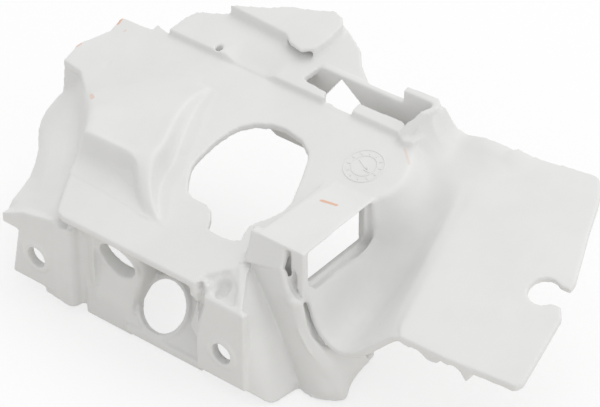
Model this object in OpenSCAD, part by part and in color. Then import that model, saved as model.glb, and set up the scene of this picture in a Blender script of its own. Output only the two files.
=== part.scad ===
// Air guide shroud of a small engine: one moulding with a tilted top plate, a raised
// bulge, a hood with a side window, a scoop with a notched flange and a clip window.
// X runs along the front wall, Y to the back, Z up. The origin is the centre of the
// left screw hole, in the front face of its ring.

/* [Moulding] */
// Thickness of the moulded walls
wall = 2.2; // [1.9:0.1:2.5]
// Height of the step between the top plate and the rear deck
step_h = 2; // [1.2:0.1:3]

/* [Screw pads] */
// Diameter of the two screw holes
screw_d = 6.8; // [5:0.1:8]
// Distance between the two screw holes
screw_pitch = 73; // [71:0.5:74]
// Diameter of the raised ring round each screw hole
screw_ring_d = 10; // [9:0.5:12]
// Thickness of the pads that the screws clamp
pad_t = 2.6; // [2.2:0.1:3.4]

/* [Openings] */
// Diameter of the hose hole in the front recess
hose_hole_d = 16.4; // [13:0.2:17]
// Diameter of the small hole in the front panel
panel_hole_d = 13.2; // [10:0.2:14]
// Diameter of the round end of the flange notch
notch_d = 9.4; // [7:0.2:11]
// Width of the mouth of the flange notch
notch_w = 6.4; // [4:0.2:7]
// Diameter of the small vent in the rear deck
vent_d = 2.4; // [1.4:0.1:3]
// Height of the slot under the lip of the raised block
slot_h = 2; // [1.6:0.1:2.4]

/* [Hood and deck] */
// Height of the hood roof above the pads' lower edge
roof_z = 45.4; // [44.6:0.1:46.2]
// Thickness of the hood's window wall
window_wall = 4.6; // [3.6:0.1:5.4]
// Height of the raised block above the deck
block_h = 3.4; // [3.2:0.1:4.6]
// Height of the hooked clip above the deck
clip_h = 5; // [3:0.2:7]

/* [Hidden] */
$fn = 64;

resin = [0.90, 0.90, 0.89];
far = 90;

// Places along the front wall
pad_x = 10.9;
pad_z = 10.5;
front_w = 92;
pad_top = 28;
ring_h = 0.6;
table_z = -4.5;

// The top plate starts at the front edge of the shelf and rises to the back
plate_tilt = 16;
shelf_z = 31.3;
rise = tan(plate_tilt);
function plate_z(y) = shelf_z + y * rise;
function on_plate(x, y, up = 0) = [x, y, plate_z(y) + up];

// The flange right of the scoop has the same tilt but lies lower
rim_y = 17.5;
rim_z = 31.5;
function flange_z(y) = rim_z + (y - rim_y) * rise;
function on_flange(x, y, up = 0) = [x, y, flange_z(y) + up];

// Rear deck, one step above the plate
deck_y = 71;
function deck_z(y) = plate_z(y) + step_h;

// Hood
hood_x0 = 84.6;
hood_x1 = 101.5;
hood_y0 = 15.6;
window_y = [18.2, 48.4];
window_z0 = 29.6;

// Curve through control points
function pick(list, i) = list[max(0, min(len(list) - 1, i))];
function between(a, b, c, d, t) =
    0.5 * (2 * b + (c - a) * t + (2 * a - 5 * b + 4 * c - d) * t * t
    + (3 * b - a - 3 * c + d) * t * t * t);
function smooth_row(row, n) = [
    for (i = [0 : len(row) - 2], k = [0 : n - 1])
        between(pick(row, i - 1), row[i], row[i + 1], pick(row, i + 2), k / n),
    row[len(row) - 1]
];
function turned(grid) = [for (j = [0 : len(grid[0]) - 1]) [for (row = grid) row[j]]];
function smooth_grid(grid, n, m) =
    turned([for (col = turned([for (row = grid) smooth_row(row, n)])) smooth_row(col, m)]);

// Outward direction of a grid at one of its points
function across(grid, i, j) = pick(grid[i], j + 1) - pick(grid[i], j - 1);
function along(grid, i, j) = pick(grid, i + 1)[j] - pick(grid, i - 1)[j];
function outward(grid, i, j) = let (n = cross(across(grid, i, j), along(grid, i, j))) n / norm(n);

// A moulded sheet whose outer face follows the grid
module sheet(grid, t = wall) {
    rows = len(grid);
    cols = len(grid[0]);
    count = rows * cols;
    outer = [for (row = grid, p = row) p];
    inner = [for (i = [0 : rows - 1], j = [0 : cols - 1]) grid[i][j] - t * outward(grid, i, j)];
    cells = [for (i = [0 : rows - 2], j = [0 : cols - 2]) i * cols + j];
    rim = concat(
        [for (j = [0 : cols - 2]) j],
        [for (i = [0 : rows - 2]) i * cols + cols - 1],
        [for (j = [cols - 1 : -1 : 1]) (rows - 1) * cols + j],
        [for (i = [rows - 1 : -1 : 1]) i * cols]
    );
    n = len(rim);
    polyhedron(
        points = concat(outer, inner),
        faces = concat(
            [for (c = cells) [c, c + cols, c + cols + 1]],
            [for (c = cells) [c, c + cols + 1, c + 1]],
            [for (c = cells) [count + c, count + c + cols + 1, count + c + cols]],
            [for (c = cells) [count + c, count + c + 1, count + c + cols + 1]],
            [for (k = [0 : n - 1]) [rim[k], rim[(k + 1) % n], count + rim[(k + 1) % n]]],
            [for (k = [0 : n - 1]) [rim[k], count + rim[(k + 1) % n], count + rim[k]]]
        )
    );
}

// A slab over the whole part, parallel to the plate; its top face is raised above it
module slab(raised, t) {
    translate([0, 0, shelf_z + raised]) rotate([plate_tilt, 0, 0])
        translate([-60, -120, -t]) cube([300, 300, t]);
}

// Everything above a face parallel to the plate
module above(raised) {
    translate([0, 0, shelf_z + raised]) rotate([plate_tilt, 0, 0])
        translate([-60, -120, 0]) cube([300, 300, 80]);
}

// Everything below a face parallel to the plate
module below(raised) {
    translate([0, 0, shelf_z + raised]) rotate([plate_tilt, 0, 0])
        translate([-60, -120, -80]) cube([300, 300, 80]);
}

module plan(points, z = -10, h = far) {
    translate([0, 0, z]) linear_extrude(h) polygon(points);
}

// A wall that follows a profile in Y and Z and runs along X
module x_run(x0, x1, profile, t = wall) {
    translate([x0, 0, 0]) rotate([90, 0, 90]) linear_extrude(x1 - x0)
        polygon(concat(profile, [for (i = [len(profile) - 1 : -1 : 0]) profile[i] + [t, 0]]));
}

// Top plate with the shelf in front
plate_outline = [
    [22.8, 0], [73.9, 0], [74.6, 4.6], [80.2, 9.7], [81.6, 13.5], [83, hood_y0],
    [hood_x0 + wall, hood_y0 + 1], [hood_x0 + wall, 49], [hood_x1 - 0.6, 49],
    [103.6, 52], [105, 56], [104.8, 60], [103, 64.6], [99.2, 68.6], [93, 71.6],
    [3.9, 71.6], [-2.4, 72.8], [-2.1, 70.5], [-13.4, 70], [-14.8, 69.3], [-14.3, 64],
    [-16.1, 61], [-19.9, 55], [-19.4, 47.3], [-11.4, 46.3], [-4, 40.4], [3.6, 31.6],
    [10.2, 22.4], [14.6, 11.8], [18.6, 3], [20, 0.8]
];

module top_plate() {
    intersection() {
        plan(plate_outline);
        slab(0, wall);
    }
}

// Main opening: three flowing sides and a hooked notch towards the shelf
opening_outline = [
    [51.4, 55.5], [48.1, 52.4], [46.6, 49.5], [45.1, 44.3], [44.7, 36.3], [45.1, 33.5],
    [47.3, 29.5], [50, 25.8], [52.6, 24.6], [58.8, 24.2], [61, 23.3], [63, 21], [64.6, 17.7],
    [67.3, 16.2], [71.4, 17.2], [75.8, 18.7], [75.1, 20.9], [74.6, 23.9], [75.4, 26],
    [78.2, 29.5], [80, 33.4], [80.2, 36.8], [78.7, 41.1], [76.7, 46.4], [74.5, 51.6],
    [72.8, 54.1], [68.3, 56.9], [60.8, 58.2], [56.3, 57.6]
];

// Raised bulge: a domed sheet that stands out of the plate; each point gives X, Y and
// the height above the plate, from the front foot to the back
bulge = [
    [[12.4, 13.6, -0.9], [15, 13.4, -0.8], [18, 13.2, -0.8], [23, 13, -0.8], [32, 12.8, -0.8],
     [44.6, 10.4, -0.7], [49, 10.4, -0.8], [52, 10.8, -1]],
    [[11.4, 16.8, -1.2], [13.8, 16.6, 0.1], [16.4, 16.4, 0.8], [22, 16.2, 0.9], [30, 15.8, 0.9],
     [44, 13.2, 1.4], [48, 13.4, 0.5], [51, 13.8, -1]],
    [[10.6, 19.8, -1.6], [12.4, 19.8, 1.8], [14.2, 19.6, 3.4], [20, 19.4, 3.9], [28.6, 18.8, 3.9],
     [41, 16.8, 4.2], [45.4, 16.6, 1.9], [49.4, 17, -1]],
    [[9.8, 22.3, -1.8], [11.2, 22.2, 4.2], [12.8, 22.1, 7.1], [19, 21.9, 7.8], [27, 21.5, 7.9],
     [37, 21.6, 7.2], [42.6, 20.8, 2.8], [47.6, 21.2, -1]],
    [[8, 25, -1.8], [9.8, 24.8, 4.4], [11.6, 24.8, 7], [18, 24.6, 7.5], [26, 24.6, 7.6],
     [34.8, 25.4, 7.3], [40.8, 25.2, 2.8], [46, 25.8, -1]],
    [[3.4, 31.4, -1.6], [5.2, 31.2, 3.2], [7.4, 31, 5.1], [13, 31, 5.8], [22, 31, 6.1],
     [32.4, 30.8, 6.2], [38, 31.2, 2.6], [43.2, 32, -1]],
    [[-4, 39.6, -1.2], [-1.2, 39, 1.6], [2, 39, 2.7], [10, 39, 3.7], [20, 39, 4.3],
     [29.8, 38.6, 4.4], [35, 39.2, 1.8], [40, 40, -1]],
    [[-3.4, 44.2, -1], [1, 45, 0.1], [5, 45.5, 0.8], [12, 46, 1.7], [20, 46, 2.4],
     [27.3, 46, 2.7], [32, 46.8, 1], [36.6, 47.6, -1]],
    [[3, 49.4, -1], [7, 50.4, -0.4], [10, 51.2, 0.1], [15, 52, 0.6], [20.5, 53, 0.9],
     [25.6, 53.6, 1.2], [29.4, 54.6, 0.4], [33, 55.6, -1]],
    [[9, 54.6, -1.1], [12, 56.4, -1], [14.6, 58, -1], [18, 59.6, -0.9], [21.5, 61, -0.9],
     [25, 62, -0.9], [27.6, 62.2, -0.9], [30, 62, -1.1]]
];
bulge_grid = [for (row = bulge) [for (p = row) on_plate(p[0], p[1], p[2])]];

// The plate is open below the bulge
module bulge_hollow() {
    plan([
        [15, 20.4], [28, 19.4], [41, 15.8], [46.6, 15], [46, 19], [42.4, 26], [36, 39], [29.4, 52],
        [25.6, 57], [20, 56.4], [13, 50.6], [5, 44.6], [1.4, 41], [2.8, 38], [9, 29.4], [12.6, 23.6]
    ], 20, 60);
}

// Left skirt: a hollow flank that runs down from the plate to a low outer edge
skirt = [
    [[-3.4, 0.8, 17.4], [-0.6, 0.7, 21.2], [6, 0.6, 24.1], [14.5, 0.5, 25.8], [19.2, 0.6, 27.8], [20.6, 1.4, 30.8]],
    [[-4.4, 6, 21.6], [0.5, 5.4, 23.6], [6.5, 5, 25.6], [12.8, 4.6, 27.6], [16.4, 4.4, 28.8], [17.6, 5, 31.9]],
    [[-6.4, 16, 23.4], [-2.5, 14.5, 25.6], [2.5, 13, 28], [8.2, 12.5, 29.8], [12, 12.5, 31], [13.8, 12.8, 34.4]],
    [[-12, 26, 25.4], [-9, 24.5, 27.6], [-4.5, 23, 29.8], [1.8, 22.5, 31.6], [7, 22.5, 32.8], [9.4, 22.8, 37.2]],
    [[-18.4, 33, 26.4], [-15, 32, 28.6], [-10, 31.5, 31], [-4.4, 31.4, 33], [0.8, 31.4, 34.4], [2.8, 32, 39.6]],
    [[-21.8, 40, 28], [-19, 39.6, 30], [-15, 39.4, 32.4], [-10.2, 39.2, 34.6], [-6.2, 39.4, 36.4], [-4.4, 40.2, 41.8]],
    [[-22.9, 47, 29.2], [-21.4, 47, 31.4], [-18.6, 47, 34], [-15.4, 47, 37], [-13, 47, 39.6], [-11.2, 47, 43]]
];

// Front corner: the side face right of the screw pad, and the valley behind it
corner = [
    [[90.2, 0.6, 0], [94.8, 2.6, -2.2], [98.2, 5, table_z], [99.4, 10, table_z], [100.2, 15, table_z]],
    [[90.3, 0.6, 10], [93.4, 3, 9], [95.4, 6, 8], [96, 10.4, 8], [96.4, 15, 8]],
    [[90.4, 0.6, 20], [91.6, 4, 20], [92, 7, 20], [91.8, 10.6, 20], [90.6, 14.4, 20]],
    [[90.2, 0.8, 28], [89.2, 4, 28.6], [88, 7, 29], [86.8, 10.4, 29.4], [86, 13.6, 29.4]],
    [[80.8, 12, 35.2], [81.2, 12.4, 35.2], [81.6, 12.8, 35.2], [82, 13.2, 35.2], [82.6, 13.6, 35.2]]
];

// Channel: a rounded duct wall that falls from the hood to the table
channel = [
    [[99.6, 14.4, table_z], [103.4, 13.6, table_z], [107.2, 13.6, table_z], [110, 15.4, table_z],
     [110.6, 19, table_z], [108.4, 25, -4.2]],
    [[98.8, 14.4, -1.5], [102.8, 13.2, -1.5], [106.8, 13.2, -1.5], [109.6, 15.2, -1.5], [110, 19.4, -2], [107.4, 26, -3]],
    [[95.2, 14.2, 8], [100, 12.8, 8], [104, 12.4, 8], [106.6, 14.4, 8], [107, 19, 6], [104, 26, 2]],
    [[90.4, 13.8, 19], [95, 12.4, 19], [99.2, 12, 19], [102.4, 13, 18], [104, 16.8, 16], [103, 23, 12]],
    [[85.6, 13.4, 29], [90.2, 12.2, 29], [94.6, 11.8, 29], [98, 12.6, 28], [100, 15, 26], [100.4, 20, 23]],
    [[82, 14.4, 36.2], [86.6, 14.1, 37], [91.4, 13.9, 37.8], [94.2, 14.1, 37.4], [96, 15, 34.8], [98, 18, 31.4]]
];

// Floor of the channel, level with the table, that runs back below the scoop
module channel_floor() {
    plan([
        [102, 15.4], [110.2, 15.8], [112.6, 19.6], [112, 22.5], [110.8, 25.9], [109.6, 33.5],
        [108.6, 41], [100, 41], [98, 28], [99.6, 18]
    ], table_z, wall);
}

// Scoop: from the plate's right edge down to a floor and up again to the flange
function crest_x(y) = 138.4 - 0.287 * y;
scoop = [
    [[101.3, rim_y, 41], [101.8, rim_y, 31], [103.2, rim_y, 26], [105.2, rim_y, 20.4], [108.4, rim_y, 16.4],
     [112.8, rim_y, 14.8], [117.4, rim_y, 16.4], [121.8, rim_y, 20], [126.2, rim_y, 24.4], [130.6, rim_y, 28.9],
     on_flange(134.2, rim_y, -0.5), on_flange(138, rim_y, -1.3)],
    [[101.3, 24, 41], [101.7, 24, 31], [102.8, 24, 27], [104.8, 24, 21.8], [108.4, 24, 18],
     [113, 24, 16.8], [117, 24, 18.6], [121, 24, 22.6], [124.8, 24, 27], [128.6, 24, 31.2],
     on_flange(crest_x(24) + 1, 24, -0.5), on_flange(138, 24, -1.3)],
    [[101.3, 32, 41], [101.6, 32, 31], [102.7, 32, 27.4], [104.8, 32, 23.4], [108.6, 32, 20],
     [113.2, 32, 19], [117, 32, 21.4], [120.4, 32, 25.6], [123.4, 32, 29.8], [126.4, 32, 33.6],
     on_flange(crest_x(32) + 1, 32, -0.5), on_flange(135, 32, -1.3)],
    [[101.3, 40, 41], [101.6, 40, 32], [102.8, 40, 28.8], [105.1, 40, 26], [109, 40, 23.8],
     [113.8, 40, 23.6], [117, 40, 26.2], [119.8, 40, 29.6], [122.2, 40, 33], [124.8, 40, 36.4],
     on_flange(crest_x(40) + 1, 40, -0.5), on_flange(133, 40, -1.3)],
    [[101.3, 47, 44], [101.6, 47, 35], [102.9, 47, 31.8], [105.6, 47, 29.8], [109.8, 47, 28.6],
     [114, 47, 29.2], [117, 47, 31.2], [119.2, 47, 33.8], [121.2, 47, 36.4], [123.2, 47, 38.8],
     on_flange(crest_x(47) + 1, 47, -0.5), on_flange(131, 47, -1.3)],
    [[101.8, 50.4, 45.2], [102.6, 50.4, 38.4], [104.2, 50.4, 34.6], [106.8, 50.4, 32.2], [110.4, 50.4, 31],
     [114.3, 50.4, 31.6], [117.1, 50.4, 33.4], [119.1, 50.4, 35.8], [120.9, 50.4, 38], [122.6, 50.4, 39.9],
     on_flange(crest_x(50.4) + 1, 50.4, -0.5), on_flange(130, 50.4, -1.3)],
    [[104.3, 55, 46.6], [105.6, 55, 41.8], [107, 55, 38.4], [109.2, 55, 36.2], [111.8, 55, 35.2],
     [114.8, 55, 35.6], [117.2, 55, 37], [118.9, 55, 38.8], [120.4, 55, 40.4], [121.6, 55, 41.6],
     on_flange(crest_x(55) + 1, 55, -0.5), on_flange(129, 55, -1.3)],
    [[105, 60, 47.9], [106.8, 60, 44.2], [108.2, 60, 41.4], [110.2, 60, 39.6], [112.6, 60, 38.8],
     [115, 60, 39.2], [117, 60, 40.2], [118.6, 60, 41.4], [119.8, 60, 42.6], [120.8, 60, 43.4],
     on_flange(crest_x(60) + 1, 60, -0.5), on_flange(129, 60, -1.3)],
    [[102.6, 66, 49.8], [104.8, 66, 47.4], [106.8, 66, 45.2], [109, 66, 43.8], [111.4, 66, 43.4],
     [113.8, 66, 43.6], [115.6, 66, 44.2], [117, 66, 44.8], [118.2, 66, 45.2], [119.4, 66, 45.4],
     on_flange(crest_x(66) + 1.5, 66, -0.6), on_flange(129, 66, -1.3)],
    [[97.4, 70.8, 53.2], [99.6, 71.2, 52.2], [102.4, 71.5, 50.2], [105.4, 71.5, 48.4], [108.2, 71.5, 47.5],
     [111, 71.6, 47.2], [113.4, 71.8, 47.1], [115.6, 72, 47.1], [117.6, 72.2, 47.2], [119.4, 72.4, 47.3],
     [122, 73, 47.5], [129, 74, 46.8]],
    [[101, 76.8, 58.6], [102.4, 76.7, 55.6], [104.2, 76.7, 52.8], [106.4, 76.8, 50.6], [108.4, 76.9, 49.5],
     [111.2, 77, 49.3], [113.8, 77.2, 49.3], [116.4, 77.4, 49.3], [119, 77.6, 49.3], [121.6, 77.8, 49.3],
     [125, 78.2, 49.3], [130, 79, 48.6]],
    [[102, 82.4, 60.4], [103.2, 83.4, 57.2], [104.8, 84.4, 53.6], [107.2, 84.9, 51.4], [110, 85.1, 50.6],
     [113, 85.4, 50.5], [116, 85.8, 50.4], [119, 86, 50.4], [122, 86.4, 50.4], [125, 86.7, 50.4],
     [128, 87, 50.4], [132, 87.4, 49.7]]
];

// Flange right of the scoop, with the notch and the level strip along its rear edge
flange_outline = [
    [131.8, rim_y + 3], [134.4, rim_y], [150, 17.8], [172.2, 19.6], [173.4, 21.6], [170, 44.6], [168.4, 46.6],
    [166.6, 49], [166.6, 53.4], [166.5, 56.4], [163, 65], [159.6, 73.5], [156.6, 82], [154.6, 86.6],
    [151.2, 90.4], [149, 90.8], [125, 87.2], [121, 80], [121, 70]
];
notch_c = [160.5, 49.6];

module flange() {
    intersection() {
        plan(flange_outline);
        slab(flange_z(0) - shelf_z, wall);
    }
}

module notch_cut() {
    translate([notch_c[0], notch_c[1], flange_z(notch_c[1])]) rotate([plate_tilt, 0, 0]) {
        translate([0, 0, -6]) cylinder(d = notch_d, h = 12);
        rotate([0, 0, 4]) translate([0, -notch_w / 2 + 0.4, -6]) cube([30, notch_w, 12]);
    }
}

// Ribs under the front edge of the flange
module flange_ribs() {
    translate([0, rim_y + 0.7, 0]) rotate([90, 0, 0]) mirror([0, 0, 1]) {
        linear_extrude(10) polygon([[139.6, 31], [141, 28.4], [143.4, 27], [146.4, 27.4], [149.4, 31]]);
        linear_extrude(4) polygon([[150, 31.2], [154.6, 28.6], [156.6, 26], [157.8, 28.6], [158.2, 31.2]]);
    }
}

// Hood: roof, left wall and a front face that leans forwards at its foot
module hood() {
    roof_outline = [
        [hood_x0, hood_y0 + 0.6], [hood_x0 + 0.6, hood_y0], [hood_x1, hood_y0], [hood_x1, 49.6],
        [98, 52.4], [93, 53.4], [87.4, 51.6], [86.4, 48]
    ];
    translate([0, 0, roof_z - wall]) linear_extrude(wall) polygon(roof_outline);
    difference() {
        translate([hood_x0, hood_y0 + 0.5, 30]) cube([wall, 34, roof_z - 30.3]);
        below(-wall * 0.9);
    }
    // front face
    x_run(82.2, 95.2, [[hood_y0 + 0.2, roof_z - 0.1], [hood_y0 - 2.8, 36.2], [hood_y0 - 2.8, 34.4]], 2.4);
    // window wall
    translate([0, hood_y0, 0]) rotate([90, 0, 0]) mirror([0, 0, 1]) linear_extrude(34.4)
        polygon([
            [hood_x1 - window_wall, 31.2], [hood_x1 - 1.4, 27.4], [hood_x1, 27.4],
            [hood_x1, roof_z - 0.3], [hood_x1 - window_wall, roof_z - 0.3]
        ]);
    // step behind the gap between the front face and the window wall
    translate([92.4, 17.6, 26.4]) cube([6, 1.6, roof_z - 27.6]);
}

module window_cut() {
    y0 = window_y[0];
    y1 = window_y[1];
    translate([hood_x1 - 12, 0, 0]) rotate([90, 0, 90]) linear_extrude(12.5)
        polygon([
            [y0, 37.4], [y0, roof_z - wall + 0.9], [y1 - 1.2, roof_z - wall + 0.9], [y1 - 1.2, window_z0 + 1.2],
            [y0 + 4, window_z0 + 1.2], [y0 + 0.4, window_z0 + 4.4]
        ]);
    translate([hood_x1 - window_wall / 2, 0, 0]) rotate([90, 0, 90]) linear_extrude(window_wall / 2 + 0.5)
        polygon([
            [y0, 37.4], [y0, roof_z - 0.8], [y1, roof_z - 0.8], [y1, window_z0],
            [y0 + 3.4, window_z0], [y0, window_z0 + 3.6]
        ]);
}

// Gap between the hood's front face and the window wall, closed at the back by a step
module hood_slit() {
    translate([0, 8, 0]) rotate([90, 0, 0]) mirror([0, 0, 1]) linear_extrude(9.8)
        polygon([[96.2, 31.6], [98.4, 30.2], [hood_x1 - window_wall, 32], [hood_x1 - window_wall, roof_z - 1], [94.8, roof_z - 1]]);
}

// Front wall: screw pads, grooved panel with the small hole, recess with the hose hole
module front_wall() {
    left_pad = [[0, 0], [17.6, 0], [17.6, 27.4], [6, 25], [-3, 20.6], [-3, 17.4], [3.5, 17.4]];
    translate([0, pad_t, 0]) rotate([90, 0, 0]) linear_extrude(pad_t) polygon(left_pad);
    translate([74, 0, 0]) cube([front_w - 74, pad_t, pad_top]);
    // soft ridge and groove between the left pad and the panel
    plan([[13, 0.4], [17, 0.2], [20.5, -0.2], [23.4, -0.5], [25, 0.2], [25.8, 1.8], [25.4, 4], [20, 3.8], [13, 2.4]], -2.4, 29);
    plan([[23.6, 0.6], [26.2, 3.4], [28.2, 4.4], [31.6, 3.1], [31.6, 3.1 + wall], [28, 6.8], [23.6, 4.6]], -2.4, 36);
    // panel under the shelf
    x_run(27.6, 46, [[2.8, table_z], [3.6, 5], [5.4, 14], [4.9, 20], [1.6, 31]]);
    // recess: sloping floor, back wall and two sides
    x_run(44.6, 74.6, [[2, -0.7], [15.4, 19], [15.4, 40]]);
    translate([54.6, 8, 8.2]) rotate([-124.2, 0, 0]) translate([0, 0, -0.7]) cylinder(d = hose_hole_d + 3.2, h = 2);
    translate([40, 4.8, 20.6]) rotate([-73, 0, 0]) translate([0, 0, -0.5]) cylinder(d = panel_hole_d + 2.8, h = 3.8);
    intersection() {
        union() {
            plan([[43.6, 2.8], [45.2, 3], [46, 16], [43.8, 16]]);
            plan([[71, 16], [72.4, 8], [73, 4], [75, 0.2], [77.4, 0.2], [75.6, 16]]);
        }
        x_run(40, 80, [[2, -0.5], [15.4, 19.2], [15.4, 40], [1.4, 40]], 0.6);
    }
    // strip below the recess
    plan([[44.6, 1.6], [74.6, 1.6], [74.6, 4], [44.6, 4]], -2.6, 3);
    // sloped face above the right pad, and the web that closes it against the shelf
    intersection() {
        plan([[73.6, 0.1], [91.4, 0.1], [83, 14], [73.6, 14]]);
        translate([0, 0.1, pad_top]) rotate([29, 0, 0]) translate([60, -1, -4]) cube([40, 20, 4]);
    }
    plan([[72, 0.2], [74.2, 0.2], [74.9, 4.4], [80.4, 9.5], [82, 14], [79, 14], [72, 6.8]], 26, 20);
}

module screw_rings() {
    for (x = [pad_x, pad_x + screw_pitch]) translate([x, 0.6, pad_z]) rotate([90, 0, 0])
        cylinder(d = screw_ring_d, h = 0.6 + ring_h);
}

module screw_holes() {
    for (x = [pad_x, pad_x + screw_pitch]) translate([x, -3, pad_z]) rotate([-90, 0, 0])
        cylinder(d = screw_d, h = 10);
}

module front_holes() {
    translate([40, 4.8, 20.6]) rotate([-73, 0, 0]) translate([0, 0, -8]) cylinder(d = panel_hole_d, h = 14);
    translate([54.6, 8, 8.2]) rotate([-124.2, 0, 0]) translate([0, 0, -5]) cylinder(d = hose_hole_d, h = 10);
}

// Trapezoid pocket in the sloped face above the right pad: a level ledge and a steep back
module face_pocket() {
    intersection() {
        plan([[80.2, 1.6], [88.6, 1.6], [87.8, 4.4], [80.6, 9.2], [77.6, 8.6], [79, 3.4]], 20, 30);
        translate([70, 0, 0]) rotate([90, 0, 90]) linear_extrude(25)
            polygon([[1, pad_top - 0.5], [3.4, pad_top - 0.3], [8.8, pad_top + 4.4], [9.6, pad_top + 12], [1, pad_top + 12]]);
    }
}

// Rear deck with its block, the slot under the lip, the clip window and the hooked clip
deck_outline = [
    [3.9, deck_y], [93, deck_y], [96, 69], [99.6, 69.4], [100.6, 73], [100.8, 80], [99, 82.6], [88, 82.4],
    [74.6, 81.8], [71, 84.5], [67.5, 87.1], [63.5, 91.8], [55.9, 96.1], [52.2, 97.5], [48.6, 98], [35, 93.4],
    [16, 84.7], [7.1, 81.1], [5.3, 77.4]
];
block_outline = [
    [17.4, 84.9], [40.7, 83.6], [44, 81.4], [49, 80.3], [52.6, 82.6], [54, 88], [54.4, 94.6],
    [52.4, 97], [48.6, 98], [41, 95], [34.7, 93.3], [29.3, 90], [18, 85.4]
];

module deck() {
    intersection() {
        plan(deck_outline);
        union() {
            slab(step_h, wall);
            intersection() {
                slab(step_h, wall + step_h);
                plan([[0, 60], [110, 60], [110, 73.2], [0, 73.2]]);
            }
            intersection() {
                slab(step_h, wall + step_h * 0.8);
                plan([[18, 72], [48, 72], [48, 80.6], [18, 80.6]]);
            }
        }
    }
    intersection() {
        plan(block_outline);
        slab(step_h + block_h, block_h + 1);
        translate([50.4, 0, deck_z(88) + block_h]) rotate([0, 34, 0]) translate([-60, 0, -60]) cube([90, 200, 64]);
    }
    // narrow rib behind the clip window
    intersection() {
        plan([[57, 79.6], [88.4, 79.6], [88.4, 82], [57.4, 82]]);
        slab(step_h + 0.5, wall);
    }
    // hooked clip: rear wall, end wall and return that falls to the deck
    intersection() {
        plan([[88, 79.4], [99, 80.2], [100.6, 79.4], [101.2, 81.4], [98.8, 83], [88, 82.4]]);
        slab(step_h + clip_h, clip_h + 4);
    }
    intersection() {
        plan([[93.4, 70], [95.4, 69.4], [101.4, 79], [101, 81], [98.4, 81]]);
        translate([0, 69.5, deck_z(69.5) + 0.2]) rotate([46, 0, 0]) translate([80, -12, -16]) cube([30, 60, 16]);
        slab(step_h + clip_h, clip_h + 4);
    }
}

module deck_cuts() {
    // clip window with a wider notch towards the plate
    plan([
        [54.6, 74.7], [64.4, 73.8], [64.4, 72.2], [75.4, 71.8], [75.8, 74.7], [91.7, 75.2], [95.6, 73.4],
        [99.2, 79.4], [98.4, 80.4], [87.4, 80.2], [56.3, 80.4]
    ], 40, 40);
    translate([41.6, 79, deck_z(79) - 0.1]) rotate([plate_tilt, 0, 0]) cube([10.4, 8, slot_h + 0.1]);
    // vee notch in the rear wall and the deck's edge
    translate([0, 78, 0]) rotate([90, 0, 0]) mirror([0, 0, 1]) linear_extrude(5)
        polygon([[64.6, 55.4], [57.6, 45.6], [57.6, 20], [72, 20], [72, 49.6]]);
    translate([23.2, 72.6, 40]) cylinder(d = vent_d, h = 30);
    // the step between plate and deck fades to a crease
    translate([0, deck_y, plate_z(deck_y) + step_h * 0.2]) rotate([plate_tilt + 8.5, 0, 0])
        translate([25.6, -8, 0]) cube([20, 17.4, 10]);
    // the deck's edge is level with the plate in front of the clip window
    intersection() {
        plan([[65.2, 66], [75.7, 66], [75.7, 75], [65.2, 75]], 40, 40);
        above(0.15);
    }
}

// Rear wall under the deck with its vee notch
module rear_wall() {
    translate([0, 82.4, 0]) rotate([90, 0, 0]) linear_extrude(2)
        polygon([[34, 55.4], [35.2, 25.6], [39.2, 23.2], [94, 23.2], [100.2, 20], [100.2, 55.4]]);
}

// Two legs that carry the back of the part
module legs() {
    plan([[92, 80.4], [100.4, 80.4], [100.4, 84], [98.2, 84], [98.2, 82.4], [92, 82.4]], table_z, 56);
    translate([0, 47.6 + wall, 0]) rotate([90, 0, 0]) linear_extrude(wall)
        polygon([[-18.9, 48], [-8, 48], [-8, table_z], [-18.6, table_z], [-21.2, 29.6]]);
    plan([[-10.2, 48.4], [-8, 48.4], [-8, 66], [-10.2, 66]], table_z, 60);
}

// Plate and deck with their openings
module top_part() {
    difference() {
        union() {
            difference() {
                top_plate();
                bulge_hollow();
            }
            sheet(smooth_grid(bulge_grid, 2, 2));
            deck();
            rear_wall();
        }
        plan(opening_outline, 20, 50);
        deck_cuts();
    }
}

// Front wall, skirt and legs, which end just under the plate's face
module lower_part() {
    difference() {
        union() {
            sheet(smooth_grid(skirt, 2, 2));
            front_wall();
            screw_rings();
            legs();
        }
        above(-0.3);
        screw_holes();
        front_holes();
        face_pocket();
    }
}

// Hood with its window, and the sheets that run down from it
module hood_part() {
    difference() {
        union() {
            hood();
            sheet(smooth_grid(scoop, 2, 2));
            sheet(smooth_grid(channel, 2, 2));
        }
        window_cut();
        hood_slit();
    }
    channel_floor();
    sheet(smooth_grid(corner, 2, 2));
}

module flange_part() {
    difference() {
        union() {
            flange();
            flange_ribs();
        }
        notch_cut();
    }
}

module shroud_solid() {
    top_part();
    lower_part();
    hood_part();
    flange_part();
}

module shroud() {
    color(resin) translate([-pad_x, ring_h, -pad_z]) shroud_solid();
}

shroud();
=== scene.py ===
"""Dresses the air guide shroud, one light grey injection moulding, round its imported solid."""

import logging
import math
from dataclasses import dataclass
from enum import Enum
from typing import Sequence

import bmesh
import bpy
import numpy as np
from mathutils import Matrix, Vector
from mathutils.bvhtree import BVHTree


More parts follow.
